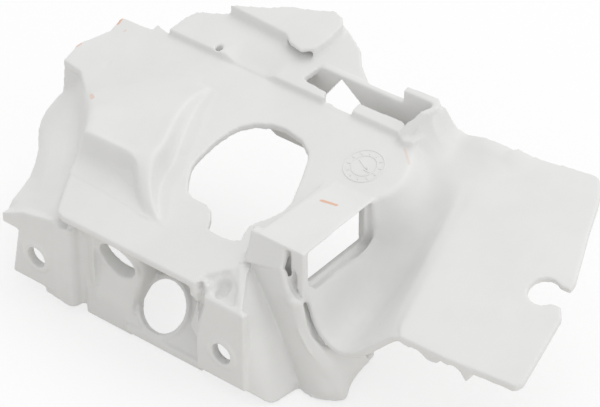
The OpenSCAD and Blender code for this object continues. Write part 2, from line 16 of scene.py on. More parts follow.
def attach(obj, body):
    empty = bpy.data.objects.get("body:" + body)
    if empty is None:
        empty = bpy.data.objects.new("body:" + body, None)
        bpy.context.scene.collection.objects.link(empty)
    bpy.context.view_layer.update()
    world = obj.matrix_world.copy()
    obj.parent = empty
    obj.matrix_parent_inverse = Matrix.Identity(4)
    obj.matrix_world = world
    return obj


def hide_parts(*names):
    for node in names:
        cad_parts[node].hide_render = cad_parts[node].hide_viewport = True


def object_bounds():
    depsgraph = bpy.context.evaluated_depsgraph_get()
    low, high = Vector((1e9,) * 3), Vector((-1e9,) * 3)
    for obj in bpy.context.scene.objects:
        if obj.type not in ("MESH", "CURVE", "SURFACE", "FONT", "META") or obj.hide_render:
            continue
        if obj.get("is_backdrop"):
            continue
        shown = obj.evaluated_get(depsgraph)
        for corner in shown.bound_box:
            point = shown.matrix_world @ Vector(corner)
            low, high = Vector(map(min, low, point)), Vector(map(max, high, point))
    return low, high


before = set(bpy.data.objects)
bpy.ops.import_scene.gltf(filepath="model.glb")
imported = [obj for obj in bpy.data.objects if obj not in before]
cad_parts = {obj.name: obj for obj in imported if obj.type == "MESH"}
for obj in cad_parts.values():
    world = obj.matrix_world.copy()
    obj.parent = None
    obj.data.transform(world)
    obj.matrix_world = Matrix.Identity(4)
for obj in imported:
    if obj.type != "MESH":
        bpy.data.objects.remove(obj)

log = logging.getLogger("shroud")
logging.basicConfig(level=logging.INFO, format="%(name)s: %(message)s")

MM = 0.001
BODY = "root"
NODE = "shroud"

# The drawing is in millimetres from the lower left corner of the left screw pad: x along the
# front wall, y to the back and z up. This leads from there to the frame.
FRAME_SHIFT = (-10.9, 0.6, -10.5)
PLATE_FRONT = 31.3
PLATE_LEAN = math.radians(16)
WHITE = (1.0, 1.0, 1.0, 1.0)
FAR = 1e9
TINY = 1e-9

# The bulge on the plate, front row first: x, y and height above the plate.
BULGE_ROWS = (
    ((12.4, 13.6, -0.9), (15, 13.6, -0.3), (18, 13.5, -0.2), (24, 13.4, -0.1), (42, 12.2, -0.1),
     (46.2, 12.2, 0.1), (49.9, 12.3, 0), (50.2, 12.2, 0), (50.7, 12, 0), (51.1, 11.8, 0),
     (51.6, 11.6, -0.1), (53.1, 11.6, -0.8)),
    ((11.6, 16.6, -1.2), (13.6, 17.4, 0.01), (16.4, 17.5, 0.07), (22, 17.4, 0.08),
     (37.6, 15.8, 0.15), (41, 15, 1.9), (46.6, 13.9, 1.6), (48.1, 14, 0.72), (48.9, 14, -0.08),
     (50.2, 14.1, -0.32), (51.7, 14.2, -0.1), (52.9, 14.2, -0.8)),
    ((11, 18.6, -1.5), (12.6, 19.8, 0.37), (14.8, 19.9, 0.67), (21, 19.8, 0.74),
     (34.6, 18.6, 0.8), (37.2, 17.6, 3.9), (43.8, 16.2, 3.1), (45.3, 16.3, 1.4),
     (46.7, 16.3, -0.16), (48.3, 16.4, -0.62), (50.3, 16.5, -0.1), (51.8, 16.5, -0.8)),
    ((10.4, 20.4, -1.7), (11.9, 21.2, 1.81), (13.8, 21.2, 2.54), (20, 21.1, 2.72),
     (32.6, 20.8, 3), (34.8, 19.8, 5.9), (41, 19, 4.9), (42.5, 19.1, 2.21), (44.3, 19.1, -0.2),
     (46.1, 19.2, -0.8), (48.3, 19.3, -0.1), (50, 19.3, -0.8)),
    ((9.8, 22.3, -1.8), (11.2, 22.2, 4.2), (12.8, 22.1, 7.1), (19, 22, 7.8), (30, 21.9, 7.9),
     (33, 21.8, 7.6), (38.9, 22.2, 6.4), (40.4, 22.3, 2.88), (42.2, 22.3, -0.2), (44, 22.4, -0.8),
     (46.2, 22.5, -0.1), (47.9, 22.5, -0.8)),
    ((8, 25, -1.8), (9.8, 24.8, 4.4), (11.6, 24.8, 7), (18, 24.8, 7.4), (26, 25, 7.5),
     (33.4, 25.6, 7.6), (37.4, 26, 6.9), (38.9, 26.1, 3.11), (40.7, 26.1, -0.2),
     (42.5, 26.2, -0.8), (44.7, 26.3, -0.1), (46.4, 26.3, -0.8)),
    ((3.4, 31.4, -1.6), (5.2, 31.2, 3.2), (7.4, 31, 5.1), (13, 31, 5.7), (22, 31, 6.1),
     (31, 31, 6.5), (36.3, 31, 6.5), (37.8, 31.1, 2.93), (39.6, 31.1, -0.2), (41.4, 31.2, -0.8),
     (43.6, 31.3, -0.1), (45.3, 31.3, -0.8)),
    ((-4, 39.6, -1.2), (-1.2, 39, 1.6), (2, 39, 2.7), (10, 39, 3.6), (20, 39, 4.3),
     (28, 38.8, 4.9), (33, 38.8, 5.2), (34.5, 38.9, 2.34), (36.3, 38.9, -0.2), (38.1, 39, -0.8),
     (40.3, 39.1, -0.1), (42, 39.1, -0.8)),
    ((-3.4, 44.2, -1), (1, 45, 0.1), (5, 45.5, 0.8), (12, 46, 1.8), (19.5, 46, 2.7),
     (25.6, 45.8, 3.4), (30.4, 45.6, 3.8), (31.9, 45.7, 1.71), (33.6, 45.7, -0.19),
     (35.4, 45.8, -0.76), (37.5, 45.9, -0.1), (39.2, 45.9, -0.8)),
    ((3, 49.4, -1), (7, 50.4, -0.4), (10, 51.2, 0.1), (15, 52, 0.7), (20, 52.6, 1.3),
     (24.8, 52.6, 1.9), (28.8, 52.6, 2.3), (30.3, 52.7, 1.03), (31.4, 52.7, -0.11),
     (32.8, 52.8, -0.46), (34.5, 52.9, -0.1), (35.9, 52.9, -0.8)),
    ((9, 54.6, -1.1), (12, 56.4, -0.8), (14.6, 57.4, -0.5), (18, 58.2, -0.2), (22, 58.6, 0.1),
     (25.6, 58.6, 0.4), (28.8, 58.5, 0.7), (30.3, 58.6, 0.32), (30.7, 58.6, -0.03),
     (31.8, 58.7, -0.14), (33.1, 58.8, -0.1), (34.1, 58.8, -0.8)),
    ((10, 60, -1.4), (13, 61.6, -1.2), (16, 62.6, -1.1), (19, 63.4, -1), (22.5, 63.8, -0.9),
     (25.4, 64, -0.8), (28, 64, -0.7), (28.4, 64.1, -0.7), (28.9, 64.2, -0.7), (29.4, 64.3, -0.7),
     (30, 64.4, -0.1), (31.5, 64.4, -0.8)),
)

# What the bulge takes up of the plate, in plan.
BULGE_OUTLINE = (
    (12.6, 12.4), (30, 11.6), (44, 9.6), (52.9, 9.8), (54.3, 12.6), (51.9, 18), (49.1, 24),
    (46.1, 32), (43.1, 40), (40.3, 47), (36.1, 55), (33.1, 62), (26, 64), (14, 61), (2, 50),
    (-4.6, 44), (-4.4, 39.4), (2.6, 31.2), (7.4, 25), (9.4, 21.6), (11, 16.8),
)

# The channel that runs down from the hood, top row first: groove, strip, ridge and flank.
CHANNEL_ROWS = (
    ((79.2, 15.4, 34.2), (80.2, 14.8, 34.9), (85, 14.1, 36.3), (90, 13.6, 37.7),
     (94.6, 13.2, 39.1), (95.8, 13.7, 38.9), (96.3, 14.5, 38.2), (96, 15.2, 37.4),
     (94.6, 15.4, 37)),
    ((80.4, 15.3, 31.8), (82.4, 14.8, 32), (86.8, 13.9, 32.8), (91.2, 13.4, 33.6), (96, 12.9, 34),
     (97.6, 13.4, 33.2), (98.1, 14.3, 32.4), (97.6, 15.1, 31.2), (96, 15.4, 30)),
    ((81.4, 15.4, 28), (83.7, 14.8, 28), (88, 13.8, 28.8), (93.4, 13.1, 29.4), (98.4, 12.5, 30),
     (100.2, 12.9, 30.2), (102.2, 14.2, 29.4), (101.6, 15.3, 27.4), (100.2, 15.9, 25)),
    ((82.8, 15.5, 25), (85.2, 14.8, 25), (89.6, 13.9, 25.6), (95, 13.3, 26), (99.6, 12.8, 26.2),
     (101.2, 13.1, 26.3), (103, 14.4, 26), (102.4, 15.5, 23.6), (101.2, 16.4, 20.6)),
    ((85.8, 15.6, 19), (88.2, 14.9, 19.2), (92.6, 14.1, 19.2), (97.4, 13.7, 19.4),
     (101, 13.5, 19.6), (102.3, 13.9, 19.8), (104, 15.2, 19.5), (103.9, 16.9, 15.8),
     (104.6, 20, 11.8)),
    ((89.4, 15.7, 13), (91.8, 14.9, 13.2), (96, 14.3, 13.4), (100.6, 14.2, 13.6),
     (103.8, 14.5, 13.6), (105, 15, 13.8), (106.9, 16.6, 13.7), (108.2, 19.4, 12),
     (111, 24, 11.6)),
    ((93.4, 15.8, 7), (96, 15, 7.2), (99.8, 14.6, 7.4), (104.2, 14.8, 7.4), (107.6, 15.6, 7.4),
     (108.9, 16.2, 7.5), (110.8, 18.2, 7.4), (112.6, 22.4, 6.2), (114.8, 30, 4.8)),
    ((96, 16, 3), (98.6, 15.2, 3), (102.4, 15, 3), (106.6, 15.3, 3.2), (109.8, 16.6, 3.2),
     (111.1, 17.3, 3.4), (112.8, 19.4, 3), (113.6, 23.2, 2.2), (113.4, 28.6, 1.4)),
    ((98.4, 16.2, -1), (101, 15.3, -1.2), (104.7, 15.1, -1.4), (108.8, 15.4, -1.4),
     (111.8, 17, -1.2), (113.2, 18, -0.9), (114.1, 20, -1.4), (113.4, 22.6, -1.6),
     (112.2, 25.6, -1.8)),
    ((97.4, 16.6, -4.5), (99.9, 15.5, -4.5), (103.4, 15.2, -4.5), (107, 15.4, -4.5),
     (110.8, 16.6, -4.5), (113.6, 18.8, -4.5), (113.8, 20.6, -4.5), (112.8, 22.2, -4.5),
     (111.4, 24, -4.5)),
)

# What the channel takes up, seen from the front: x and z.
CHANNEL_FRONT = (
    (79, 34.6), (81.4, 29), (86, 20), (93.6, 7), (99, -2), (99, -6), (113, -6), (112.6, -1),
    (108.4, 7.4), (104.6, 13.4), (102, 19), (101, 26), (99.6, 29.6), (97.6, 33), (95.6, 39),
    (88, 37),
)

# The rounded corner between the grooved panel and the recess, top row first.
RECESS_CORNER = (
    ((44, 1.8, 31), (47, 2.2, 31), (48.6, 3.2, 31), (49.4, 5.2, 31), (49.6, 9.6, 31),
     (49.6, 16.4, 31)),
    ((47.3, 4, 24), (48.2, 4.3, 24), (49, 5, 24), (49.5, 6.6, 24), (49.7, 10.4, 24),
     (49.7, 16.4, 24)),
    ((47.4, 5.1, 20.6), (48.3, 5.4, 20.6), (49.1, 6, 20.6), (49.5, 7.4, 20.6), (49.6, 11, 20.6),
     (49.6, 16.4, 20.6)),
    ((46.8, 5.5, 16), (47.8, 5.8, 16), (48.5, 6.4, 16), (48.8, 7.8, 16), (48.9, 10.6, 16),
     (48.9, 14.8, 16)),
    ((44.6, 5, 11), (46, 5.2, 11), (47, 5.8, 11), (47.4, 7, 11), (47.5, 9, 11), (47.5, 11.4, 11)),
    ((43.6, 4, 6), (45, 4.2, 6), (45.9, 4.7, 6), (46.3, 5.6, 6), (46.4, 6.6, 6), (46.4, 8.2, 6)),
    ((42.6, 3.4, 0), (43.8, 3.5, 0), (44.6, 3.8, 0), (44.9, 4.3, 0), (45, 4.8, 0), (45, 5.6, 0)),
    ((42, 2.9, -4.4), (43, 3, -4.4), (43.6, 3.1, -4.4), (43.9, 3.4, -4.4), (44, 3.8, -4.4),
     (44, 4.4, -4.4)),
)

# The slanting right side of the recess, top row first.
RECESS_RIGHT = (
    ((69.6, 8, 31), (71.8, 5.8, 31), (73.8, 3.8, 31), (75.8, 2.2, 31), (77, 1.5, 31)),
    ((70.4, 6.6, 25), (72.4, 4.9, 25), (74.4, 3.2, 25), (76.2, 1.9, 25), (77.2, 1.3, 25)),
    ((69.6, 6.4, 20), (71.6, 4.6, 20), (73.6, 2.9, 20), (75, 1.8, 20), (75.8, 1.2, 20)),
    ((68.6, 5.8, 15), (70.4, 4.2, 15), (72.4, 2.6, 15), (73.8, 1.5, 15), (74.8, 1, 15)),
    ((67.6, 4.8, 10), (69.4, 3.6, 10), (71.2, 2.4, 10), (72.8, 1.5, 10), (73.8, 1, 10)),
)

# What that side takes up, seen from the front: x and z.
RECESS_RIGHT_FRONT = (
    (71.6, 31), (77.2, 31), (77.4, 25), (76, 20), (75, 15), (74, 10), (72, 10), (71, 20),
)

# The hood's front face, from the roof down to the channel.
HOOD_FRONT = (
    ((81.4, 17.9, 45), (86, 17.7, 45.1), (91, 17.6, 45.1), (95.4, 17.5, 45.1)),
    ((80.8, 16.4, 40), (85.6, 16, 41), (90.6, 15.6, 41.8), (95.3, 15.3, 42.4)),
    ((80.2, 14.8, 34.9), (85, 14.1, 36.3), (90, 13.6, 37.7), (95, 13.2, 39.1)),
)

# The wall that closes the left end of the shelf under the plate.
SHELF_END = (
    ((17.8, 2.6, 29.4), (20.4, 2.6, 29.4), (23, 2.6, 29.4)),
    ((17.8, 2.6, 26.4), (20.4, 2.6, 26.4), (23, 2.6, 26.4)),
    ((17.8, 2.6, 23.4), (20.4, 2.6, 23.4), (23, 2.6, 23.4)),
)

# The face behind the channel's slit.
POST_FACE = (
    ((96.8, 17, 44), (98.4, 17, 44), (100, 17, 44)),
    ((97.6, 17, 38), (98.8, 17, 38), (100.1, 17, 38)),
    ((98.4, 17, 33), (99.4, 17, 33), (100.4, 17, 33)),
    ((99.6, 17, 30), (100.4, 17, 29.2), (101.2, 17, 27.8)),
)


class MaterialSlot(Enum):
    """The record's material slots."""

    RESIN = "resin"


class View(Enum):
    """The side from which a surface is laid on the shell."""

    TOP = (2, (0, 1), 1, 90.0)
    FRONT = (1, (0, 2), -1, -60.0)

    def __init__(self, axis: int, sides: tuple[int, int], outward: int, start: float) -> None:
        """Keeps what the view means.

        Args:
            axis: The axis along which points move.
            sides: The two axes of an outline.
            outward: 1 where the faces look along the axis and -1 where they look against it.
            start: Millimetres on the axis at which rays start, clear of the part.
        """
        self.axis = axis
        self.sides = sides
        self.outward = outward
        self.start = start


def plate_height(y: "float | np.ndarray") -> "float | np.ndarray":
    """Height of the top plate's face at a place in plan."""
    return PLATE_FRONT + y * math.tan(PLATE_LEAN)


def drawn(x: float, y: float, z: float) -> Vector:
    """Turns a point of the part's drawing into the frame.

    Args:
        x: Millimetres along the front wall.
        y: Millimetres to the back.
        z: Millimetres up.

    Returns:
        The point in metres, in the frame.
    """
    right, back, up = FRAME_SHIFT
    return Vector(((x + right) * MM, (y + back) * MM, (z + up) * MM))


class Wire:
    """An output of a shader node; arithmetic on it adds Math nodes."""

    def __init__(self, bench: "NodeBench", socket: bpy.types.NodeSocket) -> None:
        """Keeps the socket and the bench that its nodes are made on."""
        self.bench = bench
        self.socket = socket

    def _math(self, operation: str, *values: "Wire | float") -> "Wire":
        """Adds one Math node.

        Args:
            operation: The node's operation.
            values: Its inputs in order, wires or numbers.

        Returns:
            The node's result.
        """
        inputs = dict(enumerate(values))
        return self.bench.node("ShaderNodeMath", {"operation": operation}, inputs)

    def __add__(self, other: "Wire | float") -> "Wire":
        """Sum."""
        return self._math("ADD", self, other)

    def __radd__(self, other: float) -> "Wire":
        """Sum with a number on the left."""
        return self._math("ADD", other, self)

    def __sub__(self, other: "Wire | float") -> "Wire":
        """Difference."""
        return self._math("SUBTRACT", self, other)

    def __rsub__(self, other: float) -> "Wire":
        """Difference with a number on the left."""
        return self._math("SUBTRACT", other, self)

    def __mul__(self, other: "Wire | float") -> "Wire":
        """Product."""
        return self._math("MULTIPLY", self, other)

    def __rmul__(self, other: float) -> "Wire":
        """Product with a number on the left."""
        return self._math("MULTIPLY", other, self)

    def __pow__(self, other: float) -> "Wire":
        """Power."""
        return self._math("POWER", self, other)

    def __rpow__(self, other: float) -> "Wire":
        """Power of a number on the left."""
        return self._math("POWER", other, self)

    def low(self, other: "Wire | float") -> "Wire":
        """The lower of two values."""
        return self._math("MINIMUM", self, other)

    def high(self, other: "Wire | float") -> "Wire":
        """The higher of two values."""
        return self._math("MAXIMUM", self, other)

    def fade(self, start: float, end: float) -> "Wire":
        """Goes smoothly from 0 at start to 1 at end.

        Args:
            start: Value at which the result is 0.
            end: Value at which the result is 1; it may lie below start.

        Returns:
            The faded value, between 0 and 1.
        """
        low, high = min(start, end), max(start, end)
        step = self.bench.node(
            "ShaderNodeMapRange",
            {"interpolation_type": "SMOOTHSTEP"},
            {"Value": self, "From Min": low, "From Max": high},
        )
        return 1 - step if end < start else step


class NodeBench:
    """Makes the nodes of one material or world."""

    def __init__(self, tree: bpy.types.NodeTree) -> None:
        """Starts with an empty node tree."""
        self.tree = tree
        tree.nodes.clear()

    def node(
        self,
        kind: str,
        settings: dict | None = None,
        inputs: dict | None = None,
        output: str | int = 0,
    ) -> Wire:
        """Adds a node.

        Args:
            kind: The node's type.
            settings: Its properties, which are set first.
            inputs: Values or wires by socket name or number.
            output: The output that is wanted.

        Returns:
            That output as a wire.
        """
        made = self.tree.nodes.new(kind)
        for name, value in (settings or {}).items():
            setattr(made, name, value)
        for name, value in (inputs or {}).items():
            if isinstance(value, Wire):
                self.tree.links.new(value.socket, made.inputs[name])
            else:
                made.inputs[name].default_value = value
        if not made.outputs:
            return Wire(self, None)
        return Wire(self, made.outputs[output])

    def mix_colours(self, mask: Wire, first: "Wire | tuple", second: "Wire | tuple") -> Wire:
        """Mixes two colours.

        Args:
            mask: 0 for the first colour, 1 for the second.
            first: A colour or a wire.
            second: A colour or a wire.

        Returns:
            The mixed colour.
        """
        return self.node(
            "ShaderNodeMix",
            {"data_type": "RGBA"},
            {0: mask, 6: first, 7: second},
            output=2,
        )

    def vector(
        self,
        operation: str,
        first: "Wire | tuple",
        second: "Wire | tuple",
        output: str,
    ) -> Wire:
        """Adds a Vector Math node.

        Args:
            operation: The node's operation.
            first: First vector.
            second: Second vector.
            output: "Vector" or "Value".

        Returns:
            The result.
        """
        inputs = {0: first, 1: second}
        return self.node("ShaderNodeVectorMath", {"operation": operation}, inputs, output)


def srgb(red: float, green: float, blue: float) -> tuple[float, float, float, float]:
    """Turns a screen colour into the linear colour that a shader takes.

    Args:
        red: Red, 0 to 255.
        green: Green, 0 to 255.
        blue: Blue, 0 to 255.

    Returns:
        The colour with an alpha of 1.
    """

    def linear(value: float) -> float:
        """The screen's curve undone for one channel."""
        value /= 255
        return value / 12.92 if value <= 0.04045 else ((value + 0.055) / 1.055) ** 2.4

    return (linear(red), linear(green), linear(blue), 1.0)


@dataclass(frozen=True)
class Noise:
    """Noise of one size over a surface."""

    scale: float
    detail: float
    roughness: float

    def over(self, bench: NodeBench, place: Wire) -> Wire:
        """Adds the noise.

        Args:
            bench: Where the node is made.
            place: The surface's place in metres.

        Returns:
            The noise, about 0.5 in the mean.
        """
        inputs = {
            "Vector": place,
            "Scale": self.scale,
            "Detail": self.detail,
            "Roughness": self.roughness,
        }
        return bench.node("ShaderNodeTexNoise", {}, inputs)


@dataclass(frozen=True)
class PaintScuff:
    """A thin mark of orange assembly paint on an edge, with sizes in the drawing's millimetres.

    Its fray is how far noise moves its edge, and its core is where it is at full strength, both
    as shares of the width.
    """

    start: tuple[float, float, float]
    end: tuple[float, float, float]
    width: float
    strength: float
    fray: float = 1.6
    core: float = 0.45

    def mask(self, bench: NodeBench, place: Wire, breakup: Wire) -> Wire:
        """Masks the mark.

        Args:
            bench: Where the nodes are made.
            place: The surface's place in metres.
            breakup: Noise that frays the mark.

        Returns:
            1 in the mark and 0 outside it.
        """
        start, end = drawn(*self.start), drawn(*self.end)
        run = end - start
        length = run.length
        unit = tuple(run / length)
        offset = bench.vector("SUBTRACT", place, tuple(start), "Vector")
        along = bench.vector("DOT_PRODUCT", offset, unit, "Value")
        distance = bench.vector("LENGTH", offset, (0, 0, 0), "Value")
        past = along.low(length).high(0.0)
        aside = (distance * distance - past * (2 * along - past)).high(0.0) ** 0.5
        width = self.width * MM
        frayed = aside + (breakup - 0.5) * (width * self.fray)
        return frayed.fade(width, width * self.core) * self.strength


@dataclass(frozen=True)
class SatinResin:
    """Finish of the moulding: light grey resin with a fine satin grain."""

    name: str = "satin_grey_resin"
    colour: tuple[float, float, float] = (231, 231, 230)
    shade: tuple[float, float, float] = (227, 227, 226)
    paint: tuple[float, float, float] = (226, 156, 104)
    roughness: float = 0.42
    roughness_play: float = 0.1
    cloud: Noise = Noise(38.0, 3.0, 0.55)
    cloud_fade: tuple[float, float] = (0.35, 0.68)
    cloud_share: float = 0.75
    handling: Noise = Noise(160.0, 4.0, 0.65)
    handling_fade: tuple[float, float] = (0.4, 0.75)
    grain: Noise = Noise(1500.0, 2.0, 0.6)
    grain_share: float = 0.7
    grain_strength: float = 0.035
    grain_depth: float = 0.6
    index: float = 1.46
    gloss: float = 0.42
    scuffs: tuple[PaintScuff, ...] = (
        PaintScuff((-14.1, 67.2, 50.7), (-14.2, 69.4, 51.3), 0.95, 0.62),
        PaintScuff((-9.9, 65.6, 50.1), (-9.7, 66.1, 50.2), 0.6, 0.23),
        PaintScuff((-19.8, 54, 46.9), (-19.4, 55.1, 47.2), 0.9, 0.45),
        PaintScuff((0, 38.6, 45.4), (1.9, 37.3, 45.4), 1.0, 0.36),
        PaintScuff((89.5, 39.1, 45.4), (94.2, 40.1, 45.4), 0.8, 0.65),
        PaintScuff((97.5, 68.4, 50.9), (102, 64.8, 49.9), 0.7, 0.2),
    )

    def material(self) -> bpy.types.Material:
        """Builds the material.

        Returns:
            The new material.
        """
        material = bpy.data.materials.new(self.name)
        material.use_nodes = True
        bench = NodeBench(material.node_tree)
        place = bench.node("ShaderNodeTexCoord", output="Object")
        cloud = self.cloud.over(bench, place)
        handled = self.handling.over(bench, place)
        grain = self.grain.over(bench, place)
        mottle = cloud.fade(*self.cloud_fade) * self.cloud_share
        mottle = mottle + handled.fade(*self.handling_fade) * (1 - self.cloud_share)
        base = bench.mix_colours(mottle, srgb(*self.colour), srgb(*self.shade))
        masks = [scuff.mask(bench, place, handled) for scuff in self.scuffs]
        marks = masks[0]
        for mask in masks[1:]:
            marks = marks.high(mask)
        base = bench.mix_colours(marks, base, srgb(*self.paint))
        height = grain * self.grain_share + handled * (1 - self.grain_share)
        normal = bench.node(
            "ShaderNodeBump",
            {},
            {
                "Height": height,
                "Strength": self.grain_strength,
                "Distance": self.grain_depth * MM,
            },
        )
        shader = bench.node(
            "ShaderNodeBsdfPrincipled",
            {},
            {
                "Base Color": base,
                "Roughness": self.roughness + (handled - 0.5) * self.roughness_play,
                "Normal": normal,
                "IOR": self.index,
                "Specular IOR Level": self.gloss,
            },
        )
        bench.node("ShaderNodeOutputMaterial", {}, {"Surface": shader})
        return material


def depth_inside(outline: Sequence[tuple[float, float]], plan: np.ndarray) -> np.ndarray:
    """How far each point lies inside an outline.

    Args:
        outline: The outline's corners.
        plan: Points, two numbers each.

    Returns:
        Millimetres inside, below 0 outside.
    """
    turns = np.array(outline, float)
    nearest = np.full(len(plan), FAR)
    crossings = np.zeros(len(plan), int)
    for a, b in zip(turns, np.roll(turns, -1, axis=0)):
        run = b - a
        share = np.clip(((plan - a) @ run) / (run @ run), 0, 1)
        gap = np.linalg.norm(plan - a - share[:, None] * run, axis=1)
        nearest = np.minimum(nearest, gap)
        spans = (a[1] > plan[:, 1]) != (b[1] > plan[:, 1])
        rise = b[1] - a[1] if abs(b[1] - a[1]) > TINY else TINY
        crossings += spans & (plan[:, 0] < a[0] + (plan[:, 1] - a[1]) / rise * run[0])
    return np.where(crossings % 2 == 1, nearest, -nearest)


@dataclass
class SoftZone:
    """A part of the moulding whose corners and creases run out softly.

    It lies inside an outline in plan and between two heights. Its smoothing passes fade in over
    some millimetres from there.
    """

    name: str
    outline: tuple[tuple[float, float], ...]
    low: float
    high: float
    passes: float
    fade: float = 3.0

    def budget(self, points: np.ndarray) -> np.ndarray:
        """Says how many smoothing passes each point gets.

        Args:
            points: Points in the drawing's millimetres.

        Returns:
            Passes, one number a point.
        """
        inside = depth_inside(self.outline, points[:, :2])
        upright = np.minimum(points[:, 2] - self.low, self.high - points[:, 2])
        depth = np.minimum(inside, upright) / self.fade
        return self.passes * np.clip(depth, 0, 1)


@dataclass
class FlowSheet:
    """A smooth surface through rows of given points.

    The rows run from the top down, or from the front to the back of the plate, and each runs to
    the right. On the plate, the third number of a point is its height above the plate.
    """

    name: str
    rows: tuple[tuple[tuple[float, float, float], ...], ...]
    on_plate: bool = True
    steps: int = 8

    def grid(self) -> np.ndarray:
        """Runs the surface through the rows.

        Returns:
            A grid of points in the drawing's millimetres.
        """
        points = self._smooth(np.array(self.rows, float))
        points = self._smooth(points.transpose(1, 0, 2)).transpose(1, 0, 2)
        if self.on_plate:
            points[..., 2] += plate_height(points[..., 1])
        return points

    def _smooth(self, points: np.ndarray) -> np.ndarray:
        """Runs a smooth curve through the points along the first axis.

        Args:
            points: A grid of points.

        Returns:
            The grid with more rows.
        """
        padded = np.concatenate([points[:1], points, points[-1:]])
        made = []
        for a, b, c, d in zip(padded[:-3], padded[1:-2], padded[2:-1], padded[3:]):
            for t in np.arange(self.steps) / self.steps:
                made.append(
                    0.5
                    * (
                        2 * b
                        + (c - a) * t
                        + (2 * a - 5 * b + 4 * c - d) * t**2
                        + (3 * b - a - 3 * c + d) * t**3
                    )
                )
        made.append(points[-1])
        return np.array(made)

    @staticmethod
    def _squares(tall: int, wide: int) -> list[tuple[int, int, int, int]]:
        """Lists the faces of a grid of points.

        Args:
            tall: Its rows.
            wide: The points of each row.

        Returns:
            The corners of each face.
        """
        return [
            (i * wide + j, i * wide + j + 1, (i + 1) * wide + j + 1, (i + 1) * wide + j)
            for i in range(tall - 1)
            for j in range(wide - 1)
        ]

    def tree(self) -> BVHTree:
        """The surface as a tree that rays can be cast at."""
        grid = self.grid()
        points = [tuple(point) for point in grid.reshape(-1, 3)]
        return BVHTree.FromPolygons(points, self._squares(*grid.shape[:2]))

    def solid(self, thickness: float) -> bpy.types.Object:
        """Makes a closed sheet with the surface as its outer face.

        Args:
            thickness: Millimetres, measured inwards.

        Returns:
            The sheet, linked to the scene, in the frame.
        """
        grid = self.grid()
        tall, wide = grid.shape[:2]
        normal = np.cross(np.gradient(grid, axis=0), np.gradient(grid, axis=1))
        normal /= np.maximum(np.linalg.norm(normal, axis=2, keepdims=True), TINY)
        inner = grid - normal * thickness
        points = np.concatenate([grid.reshape(-1, 3), inner.reshape(-1, 3)])
        count = tall * wide
        faces = self._squares(tall, wide)
        faces += [tuple(count + k for k in reversed(face)) for face in faces]
        rim = list(range(wide))
        rim += [i * wide + wide - 1 for i in range(1, tall)]
        rim += [(tall - 1) * wide + j for j in range(wide - 2, -1, -1)]
        rim += [i * wide for i in range(tall - 2, 0, -1)]
        for a, b in zip(rim, rim[1:] + rim[:1]):
            faces.append((b, a, count + a, count + b))
        mesh = bpy.data.meshes.new(self.name)
        mesh.from_pydata([tuple(drawn(*point)) for point in points], [], faces)
        fix = bmesh.new()
        fix.from_mesh(mesh)
        bmesh.ops.recalc_face_normals(fix, faces=fix.faces)
        fix.to_mesh(mesh)
        fix.free()
        sheet = bpy.data.objects.new(self.name, mesh)
        bpy.context.scene.collection.objects.link(sheet)
        return sheet


@dataclass(frozen=True)
class Laying:
    """Lays the shell's face on a surface, inside an outline that is seen from one side.

    It fades in over some millimetres from the outline. No point moves further than the reach,
    and none moves whose face looks further aside than grazing. A surface on the plate runs
    into the plate with a small fillet.
    """

    sheet: FlowSheet
    outline: tuple[tuple[float, float], ...]
    fade: float
    view: View = View.TOP
    reach: float = 6.0
    grazing: float = 0.05
    fillet: float = 0.4

    def press(self, shell: "ShellMesh") -> None:
        """Moves the shell's points.

        Args:
            shell: The shell to shape.
        """
        axis = self.view.axis
        depth = depth_inside(self.outline, shell.points[:, list(self.view.sides)])
        share = np.clip(depth / self.fade, 0, 1)
        share[shell.normals()[:, axis] * self.view.outward < self.grazing] = 0
        way = Vector((0, 0, 0))
        way[axis] = -self.view.outward
        tree, pressed = self.sheet.tree(), 0
        for index in np.flatnonzero(share > 0):
            source = Vector(shell.points[index])
            source[axis] = self.view.start
            hit = tree.ray_cast(source, way)[0]
            if hit is None:
                continue
            move = self._target(hit) - shell.points[index, axis]
            if abs(move) < self.reach:
                blend = share[index]
                shell.points[index, axis] += move * blend * blend * (3 - 2 * blend)
                pressed += 1
        log.info("%s: %d points pressed", self.sheet.name, pressed)

    def _target(self, hit: Vector) -> float:
        """Finds where a point goes.

        Args:
            hit: The surface's point there.

        Returns:
            The place along the view's axis.
        """
        if not self.sheet.on_plate:
            return hit[self.view.axis]
        plate = plate_height(hit.y)
        above = hit.z - plate
        return plate + (above + math.hypot(above, self.fillet)) / 2


@dataclass(frozen=True)
class Dent:
    """A rounded hollow or, with a depth below 0, a rounded swelling in the surface.

    Its radii lie along x, y and z before it is turned, in degrees in plan. The way is the one in
    which a hollow's points move. The rim is the share of the radii over which it fades in.
    """

    name: str
    centre: tuple[float, float, float]
    radii: tuple[float, float, float]
    turn: float
    way: tuple[float, float, float]
    depth: float
    rim: float
    grazing: float = 0.05

    def press(self, shell: "ShellMesh") -> None:
        """Presses the form into the shell.

        Args:
            shell: The shell to shape.
        """
        offset = shell.points - np.array(self.centre)
        turn = math.radians(self.turn)
        cos, sin = math.cos(turn), math.sin(turn)
        along = offset[:, 0] * cos + offset[:, 1] * sin
        across = offset[:, 1] * cos - offset[:, 0] * sin
        a, b, c = self.radii
        reach = np.sqrt((along / a) ** 2 + (across / b) ** 2 + (offset[:, 2] / c) ** 2)
        share = np.clip((1 - reach) / self.rim, 0, 1)
        share = share * share * (3 - 2 * share)
        way = np.array(self.way) / np.linalg.norm(self.way)
        share[shell.normals() @ way > -self.grazing] = 0
        shell.points += share[:, None] * way * self.depth
        log.info("%s: %d points pressed", self.name, int((share > 0).sum()))


